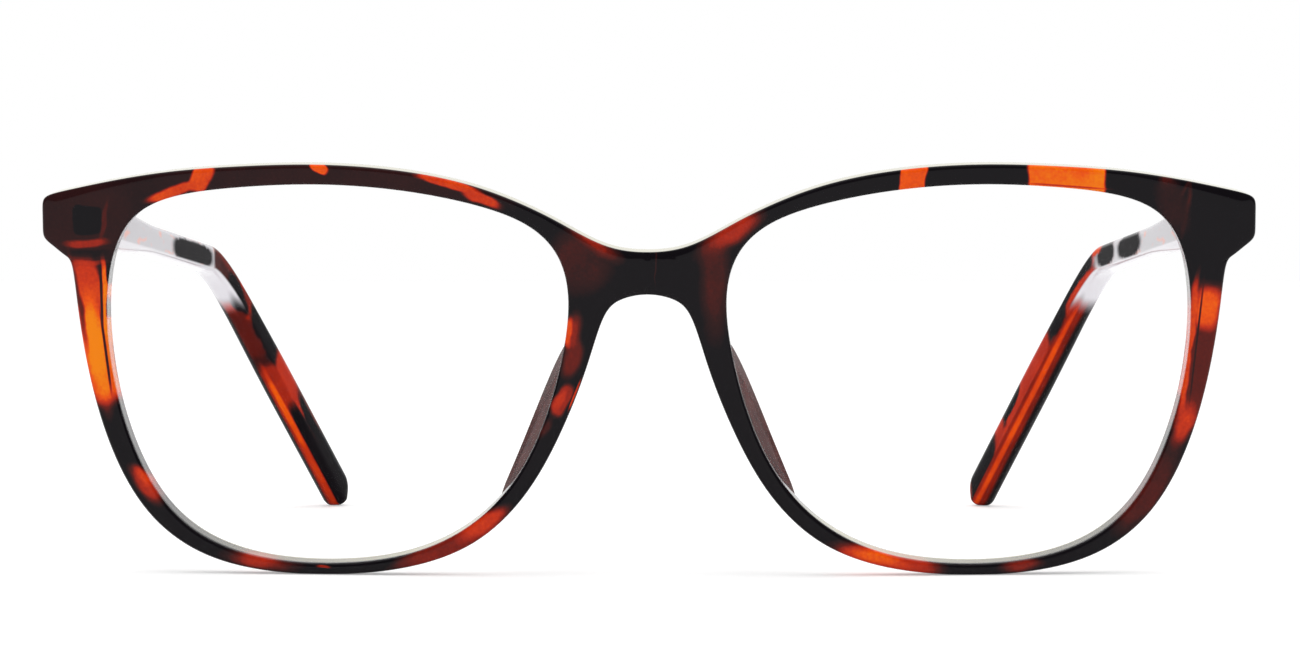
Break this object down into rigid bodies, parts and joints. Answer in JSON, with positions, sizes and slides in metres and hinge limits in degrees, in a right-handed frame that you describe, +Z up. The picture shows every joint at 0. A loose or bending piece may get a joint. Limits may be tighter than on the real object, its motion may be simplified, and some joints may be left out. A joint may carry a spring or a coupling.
{
  "type": "glasses",
  "caption": "Rounded-square full-rim plastic glasses in tortoiseshell, with clear lenses, glued nose pads and slim folding temples with bent-down tips.",
  "frame": {"origin": "under the middle of the object's box, on the table it stands on with open temples", "axes": "+X towards the wearer's left, +Y back along the temples, +Z up"},
  "size_m": [0.1384, 0.139, 0.0469],
  "materials": {
    "tortoise": "polished, near-black with translucent amber and red patches",
    "pad": "polished translucent brown",
    "lens": "clear, polished",
    "hinge_metal": "bright nickel-coloured",
    "wire": "drawn wire"
  },
  "bodies": {
    "front_assembly": {"frame_front": "tortoise", "left_lens": "lens", "right_lens": "lens", "left_nose_pad": "pad", "right_nose_pad": "pad", "left_front_hinge_leaf": "hinge_metal", "right_front_hinge_leaf": "hinge_metal", "left_hinge_screw": "hinge_metal", "right_hinge_screw": "hinge_metal"},
    "left_temple_assembly": {"left_temple": "tortoise", "left_temple_core": "wire", "left_temple_hinge_leaf": "hinge_metal"},
    "right_temple_assembly": {"right_temple": "tortoise", "right_temple_core": "wire", "right_temple_hinge_leaf": "hinge_metal"}
  },
  "joints": [
    {"name": "left_temple_fold", "type": "hinge", "parent": "front_assembly", "child": "left_temple_assembly", "pos_m": [0.06435, -0.05475, 0.03975], "axis": [0, -0.1045, 0.9945], "range_deg": [0, 84]},
    {"name": "right_temple_fold", "type": "hinge", "parent": "front_assembly", "child": "right_temple_assembly", "pos_m": [-0.06435, -0.05475, 0.03975], "axis": [0, 0.1045, -0.9945], "range_deg": [0, 78]}
  ]
}
